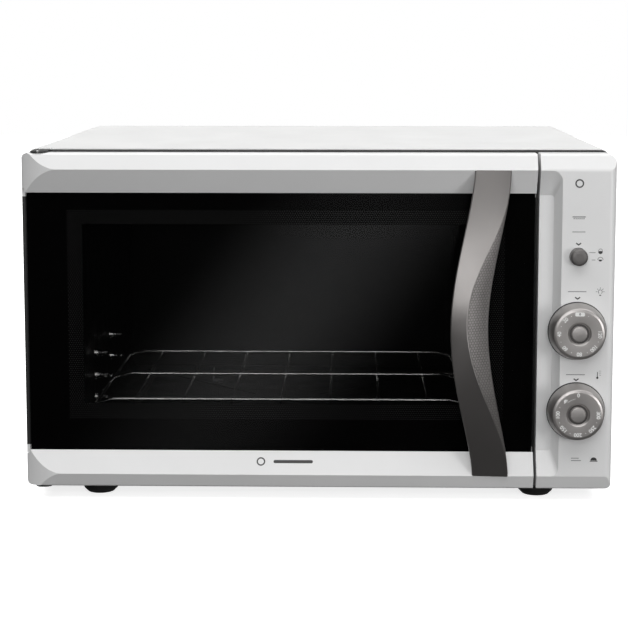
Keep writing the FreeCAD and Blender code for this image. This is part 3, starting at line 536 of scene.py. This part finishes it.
def push_button():
    low, high = BUTTON
    radius, tall = BUTTON_R, (FASCIA_FRONT - low.y) / MM
    centre = Vector((KNOB_X, FASCIA_FRONT, (low.z + high.z) / 2))
    corners = [(0, -8.0, 0), (radius, -8.0, 0), (radius, tall - 1.6, 1.4), (radius - 1.7, tall - 0.3, 1.2),
               (4.0, tall, 6.0), (0, tall, 0)]
    profile = [(max(p.x, 0.1), p.y) for p in rounded(corners, 6, closed=False)]
    shell = piece("grill_button_cap", lathe(profile, centre), "button", BUTTON_GREY, 40)
    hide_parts("grill_button")


BUTTON_R = 8.35
BUTTON_GREY = moulded("button_grey", (0.14, 0.133, 0.13), 0.4, metallic=0.4)
push_button()
timer_face = knob("timer_dial_knob", "timer_dial", TIMER, ("timer_knob", "timer_knob_cap"))
thermo_face = knob("thermostat_dial_knob", "thermostat_dial", THERMO,
                   ("thermostat_knob", "thermostat_knob_cap"))

timer = dial_print(timer_face,
                   [(90, "120"), (135, "100"), (180, "80"), (225, "60"), (270, "40"), (315, "20")],
                   [-25, 25, 112, 157, 203, 247, 293])
timer.bar(-4.6, 4.6, -1.9, 1.9, timer_face @ around(0), radius=1.3)
timer.finish("timer_print", "timer_dial", "white_plastic", WHITE_INK)
zero = Drawing()
zero.number("0", 3.2, timer_face @ around(0) @ Matrix.Translation((0, 0, 0.1 * MM)))
zero.finish("timer_zero", "timer_dial", "black_plastic", DARK_INK_AND_SHADE)

thermo = dial_print(thermo_face,
                    [(0, "0"), (90, "300"), (135, "250"), (180, "200"), (225, "150"), (270, "100")],
                    [112, 157, 203, 247, 293])
thermo.disc(0, -1.2, 1.9, thermo_face @ around(CLOCHE), start=0, sweep=math.pi)
thermo.bar(-2.4, 2.4, -2.0, -1.5, thermo_face @ around(CLOCHE))
thermo.arc(0, 0, NUMBER_R - 3.2, 100, 30, 0.3, thermo_face)
thermo.finish("thermostat_print", "thermostat_dial", "white_plastic", WHITE_INK)


# ---- Printed marks on the fascia ----------------------------------------------------------------

def panel_marks():
    """Plain lines for captions and generic symbols, placed in mm from the knobs' centre line."""
    here = facing(KNOB_X, FASCIA_FRONT - 0.02 * MM, 0)
    dark, faint = Drawing(), Drawing()
    for z in (258.0, 205.0, 124.5):                       # pointers above the button and the dials
        dark.stroke([(-2.4, z + 1.1), (0, z - 0.6), (2.4, z + 1.1)], 1.2, here)
    dark.bar(-6.3, 6.3, 284.2, 285.0, here)               # grill element
    for i in range(6):
        dark.disc(-4.75 + 1.9 * i, 282.9, 0.55, here, sides=10)
    dark.disc(21.3, 250.6, 2.1, here, sides=16, start=math.pi, sweep=math.pi)
    dark.bar(19.2, 23.4, 250.4, 251.4, here)
    faint.arc(21.3, 251.6, 1.9, 0, 180, 0.4, here)
    dark.disc(21.3, 243.0, 1.8, here, sides=16, start=math.pi, sweep=math.pi)
    faint.arc(21.3, 242.8, 2.6, 0, 180, 0.5, here)
    faint.bar(10.5, 16.5, 249.6, 250.1, here)
    faint.bar(13.0, 16.5, 242.4, 242.9, here)
    lamp = (21.8, 211.6)
    dark.arc(*lamp, 1.9, -60, 300, 0.45, here)
    dark.bar(lamp[0] - 0.9, lamp[0] + 0.9, lamp[1] - 4.0, lamp[1] - 3.0, here)
    for i in range(5):
        turn = math.radians(45 * i)
        ray = Vector((math.cos(turn), math.sin(turn)))
        dark.stroke([Vector(lamp) + ray * 2.8, Vector(lamp) + ray * 4.2], 0.4, here)
    dark.disc(20.6, 126.6, 1.1, here, sides=14)           # thermometer with heat marks
    dark.bar(20.3, 20.9, 127.0, 132.4, here)
    for i in range(3):
        faint.arc(23.2, 128.6 + 2.0 * i, 0.9, 20, 140, 0.35, here)
    dark.disc(18.6, 44.0, 3.1, here, sides=20, start=0, sweep=math.pi)
    dark.bar(14.8, 22.4, 42.9, 43.7, here)
    for u0, u1, v in ((-6.3, 6.3, 270.0), (-9.5, 8.5, 211.6), (-10.0, 8.5, 129.6), (-3.6, 4.0, 46.2),
                      (-3.6, 6.2, 43.8)):
        faint.bar(u0, u1, v - 0.35, v + 0.35, here, radius=0.3)
    dark.arc(0, 317.0, 3.6, 0, 360, 1.3, here, steps=36)
    dark.finish("panel_marks", "housing", "black_plastic", DARK_INK_AND_SHADE)
    faint.finish("panel_lines", "housing", "black_plastic", FAINT_INK)


panel_marks()


SLOPE_RUN, SLOPE_RISE = 11.7, 23.3            # the bottom bar's upper slope, in mm
SLOPE_MIDDLE = (0, -218.15 * MM, 39.35 * MM)


def bar_mark():
    """A plain ring and dash on the slope of the bottom bar."""
    up = Vector((0, SLOPE_RUN, SLOPE_RISE)).normalized()
    tilt = Matrix(((1, 0, 0), (0, up.y, up.z), (0, -up.z, up.y))).transposed()
    here = Matrix.Translation(SLOPE_MIDDLE) @ tilt.to_4x4()
    mark = Drawing()
    mark.arc(-55.5, 0.3, 3.6, 0, 360, 1.3, here, steps=36)
    mark.bar(-43.0, -4.0, -1.3, 1.9, here, radius=1.5)
    mark.finish("bar_mark", "door", "black_plastic", DARK_INK_AND_SHADE)


bar_mark()


# ---- Door glass print ---------------------------------------------------------------------------

CLEAR_X0, CLEAR_X1, CLEAR_Z0, CLEAR_Z1 = -230.7, 167.7, 95.7, 274.7
STRIP = 15.0                # width of the dotted strip round the clear opening
DOT_PITCH, DOT_R, DOT_CLEARANCE = 2.3, 0.62, 0.8
PRINT_INSET = 0.5         # how far the print stops short of the glass edge


def window_ring(drawing, outer, inner, place):
    """Four bars that fill between two rectangles (x0, x1, z0, z1)."""
    (a0, a1, b0, b1), (c0, c1, d0, d1) = outer, inner
    for bar in ((a0, a1, d1, b1), (a0, a1, b0, d0), (a0, c0, d0, d1), (c1, a1, d0, d1)):
        drawing.bar(*bar, place)


def glass_print():
    """Black print on the back of the outer glass, with a dotted band round the clear opening."""
    low, high = OUTER_GLASS
    edge = (low.x / MM + PRINT_INSET, high.x / MM - PRINT_INSET,
            low.z / MM + PRINT_INSET, high.z / MM - PRINT_INSET)
    clear = (CLEAR_X0, CLEAR_X1, CLEAR_Z0, CLEAR_Z1)
    band = (CLEAR_X0 - STRIP, CLEAR_X1 + STRIP, CLEAR_Z0 - STRIP, CLEAR_Z1 + STRIP)
    back = OUTER_GLASS[1].y
    border = Drawing()
    window_ring(border, edge, clear, facing(0, back + 0.25 * MM, 0))
    border.finish("glass_border", "door", "black_enamel", GLASS_PRINT)
    dots = Drawing()
    on_border = facing(0, back + 0.15 * MM, 0)
    row_pitch = DOT_PITCH * math.sqrt(3) / 2
    for row in range(int((band[3] - band[2]) / row_pitch) + 1):
        z = band[2] + row * row_pitch
        for column in range(int((band[1] - band[0]) / DOT_PITCH) + 1):
            x = band[0] + (column + 0.5 * (row % 2)) * DOT_PITCH
            in_x = clear[0] - DOT_CLEARANCE < x < clear[1] + DOT_CLEARANCE
            in_z = clear[2] - DOT_CLEARANCE < z < clear[3] + DOT_CLEARANCE
            if not (in_x and in_z):
                dots.disc(x, z, DOT_R, on_border, sides=6)
    dots.finish("glass_dots", "door", "black_enamel", DOT_PRINT)


glass_print()


# ---- Stage, light and camera --------------------------------------------------------------------

FLOOR_GLOW = 0.75           # lifts the pale floor to the white of the backdrop


def floor():
    material = Shader("floor", roughness=0.9, specular_ior_level=0.0)
    material.colour(material.noise(0.4), (0.9, 0.9, 0.9), (0.93, 0.93, 0.93))
    material.set("Emission Color", (1, 1, 1, 1))
    material.set("Emission Strength", FLOOR_GLOW)
    bm = bmesh.new()
    bmesh.ops.create_grid(bm, x_segments=8, y_segments=8, size=6.0)
    mesh = bpy.data.meshes.new("floor")
    bm.to_mesh(mesh)
    bm.free()
    mesh.materials.append(material.material)
    obj = bpy.data.objects.new("floor", mesh)
    bpy.context.scene.collection.objects.link(obj)
    obj.visible_glossy = obj.visible_diffuse = False


def area_light(name, place, aim, size, power):
    data = bpy.data.lights.new(name, "AREA")
    data.shape, data.size, data.size_y, data.energy = "RECTANGLE", size[0], size[1], power
    light = bpy.data.objects.new(name, data)
    light.location = place
    light.rotation_euler = (Vector(aim) - Vector(place)).to_track_quat("-Z", "Y").to_euler()
    light.visible_camera = False
    bpy.context.scene.collection.objects.link(light)


LIGHTS = (                  # name, place, aim, size in metres and power in watts
    ("front_card_high", (-0.35, -2.6, 1.1), (0, -0.2, 0.2), (1.6, 0.7), 12.8),
    ("front_card_low", (0.0, -2.6, 0.45), (0, -0.2, 0.2), (1.6, 0.4), 8.9),
    ("right_low", (1.2, -1.4, 0.25), (0.2, -0.2, 0.15), (0.5, 0.6), 6.8),
)
DOME, REAR_FILL = 2.05, 0.25                  # brightness of the studio above and behind the oven
STREAK, STREAK_WIDTH = 0.6, 0.085             # brightness and half width of the slanted soft card
STREAK_SLANT = (1, 0.0848, -0.72)             # its normal: directions at right angles are its middle


def studio():
    """White backdrop to the camera; a dome, a rear fill and a slanted card to everything else."""
    world = bpy.data.worlds.new("studio")
    world.use_nodes = True
    tree = world.node_tree
    new, link = tree.nodes.new, tree.links.new
    background = tree.nodes["Background"]
    ray, place, split = new("ShaderNodeLightPath"), new("ShaderNodeTexCoord"), new("ShaderNodeSeparateXYZ")
    link(place.outputs["Generated"], split.inputs[0])

    def fade(value, start, end, level, smooth=False):
        node = new("ShaderNodeMapRange")
        node.interpolation_type = "SMOOTHSTEP" if smooth else "LINEAR"
        link(value, node.inputs["Value"])
        node.inputs["From Min"].default_value = start
        node.inputs["From Max"].default_value = end
        node.inputs["To Max"].default_value = level
        return node.outputs[0]

    def math_node(operation, *values):
        node = new("ShaderNodeMath")
        node.operation = operation
        for socket, value in zip(node.inputs, values):
            link(value, socket)
        return node.outputs[0]

    slant = new("ShaderNodeVectorMath")
    slant.operation = "DOT_PRODUCT"
    link(place.outputs["Generated"], slant.inputs[0])
    slant.inputs[1].default_value = STREAK_SLANT
    streak = fade(math_node("ABSOLUTE", slant.outputs["Value"]), STREAK_WIDTH, 0.0, STREAK, smooth=True)
    for gate in (fade(split.outputs["Y"], -0.3, -0.6, 1.0), fade(split.outputs["Z"], -0.03, -0.08, 1.0),
                 ray.outputs["Is Glossy Ray"]):
        streak = math_node("MULTIPLY", streak, gate)
    dome = fade(split.outputs["Z"], 0.6, 0.7, DOME)
    rear = fade(split.outputs["Y"], 0.1, 0.5, REAR_FILL)
    level = math_node("ADD", math_node("ADD", dome, rear), streak)
    mix = new("ShaderNodeMix")
    mix.data_type = "RGBA"
    link(ray.outputs["Is Camera Ray"], mix.inputs["Factor"])
    link(level, mix.inputs[6])
    mix.inputs[7].default_value = (1, 1, 1, 1)
    link(mix.outputs[2], background.inputs["Color"])
    bpy.context.scene.world = world


floor()
studio()
for light in LIGHTS:
    area_light(*light)

LENS, SHIFT_Y = 95.41, -0.13
CAMERA_PLACE = (0.0318, -1.8280, 0.4558)
CAMERA_TILT, CAMERA_YAW = 6.643, 1.235        # degrees down and to the left

camera_data = bpy.data.cameras.new("camera")
camera_data.lens, camera_data.sensor_width = LENS, 36.0
camera_data.shift_y = SHIFT_Y
camera_data.clip_start, camera_data.clip_end = 0.05, 50
camera = bpy.data.objects.new("camera", camera_data)
camera.location = CAMERA_PLACE
camera.rotation_euler = (math.radians(90 - CAMERA_TILT), 0, math.radians(CAMERA_YAW))
bpy.context.scene.collection.objects.link(camera)
bpy.context.scene.camera = camera
bpy.context.scene.view_settings.view_transform = "Standard"
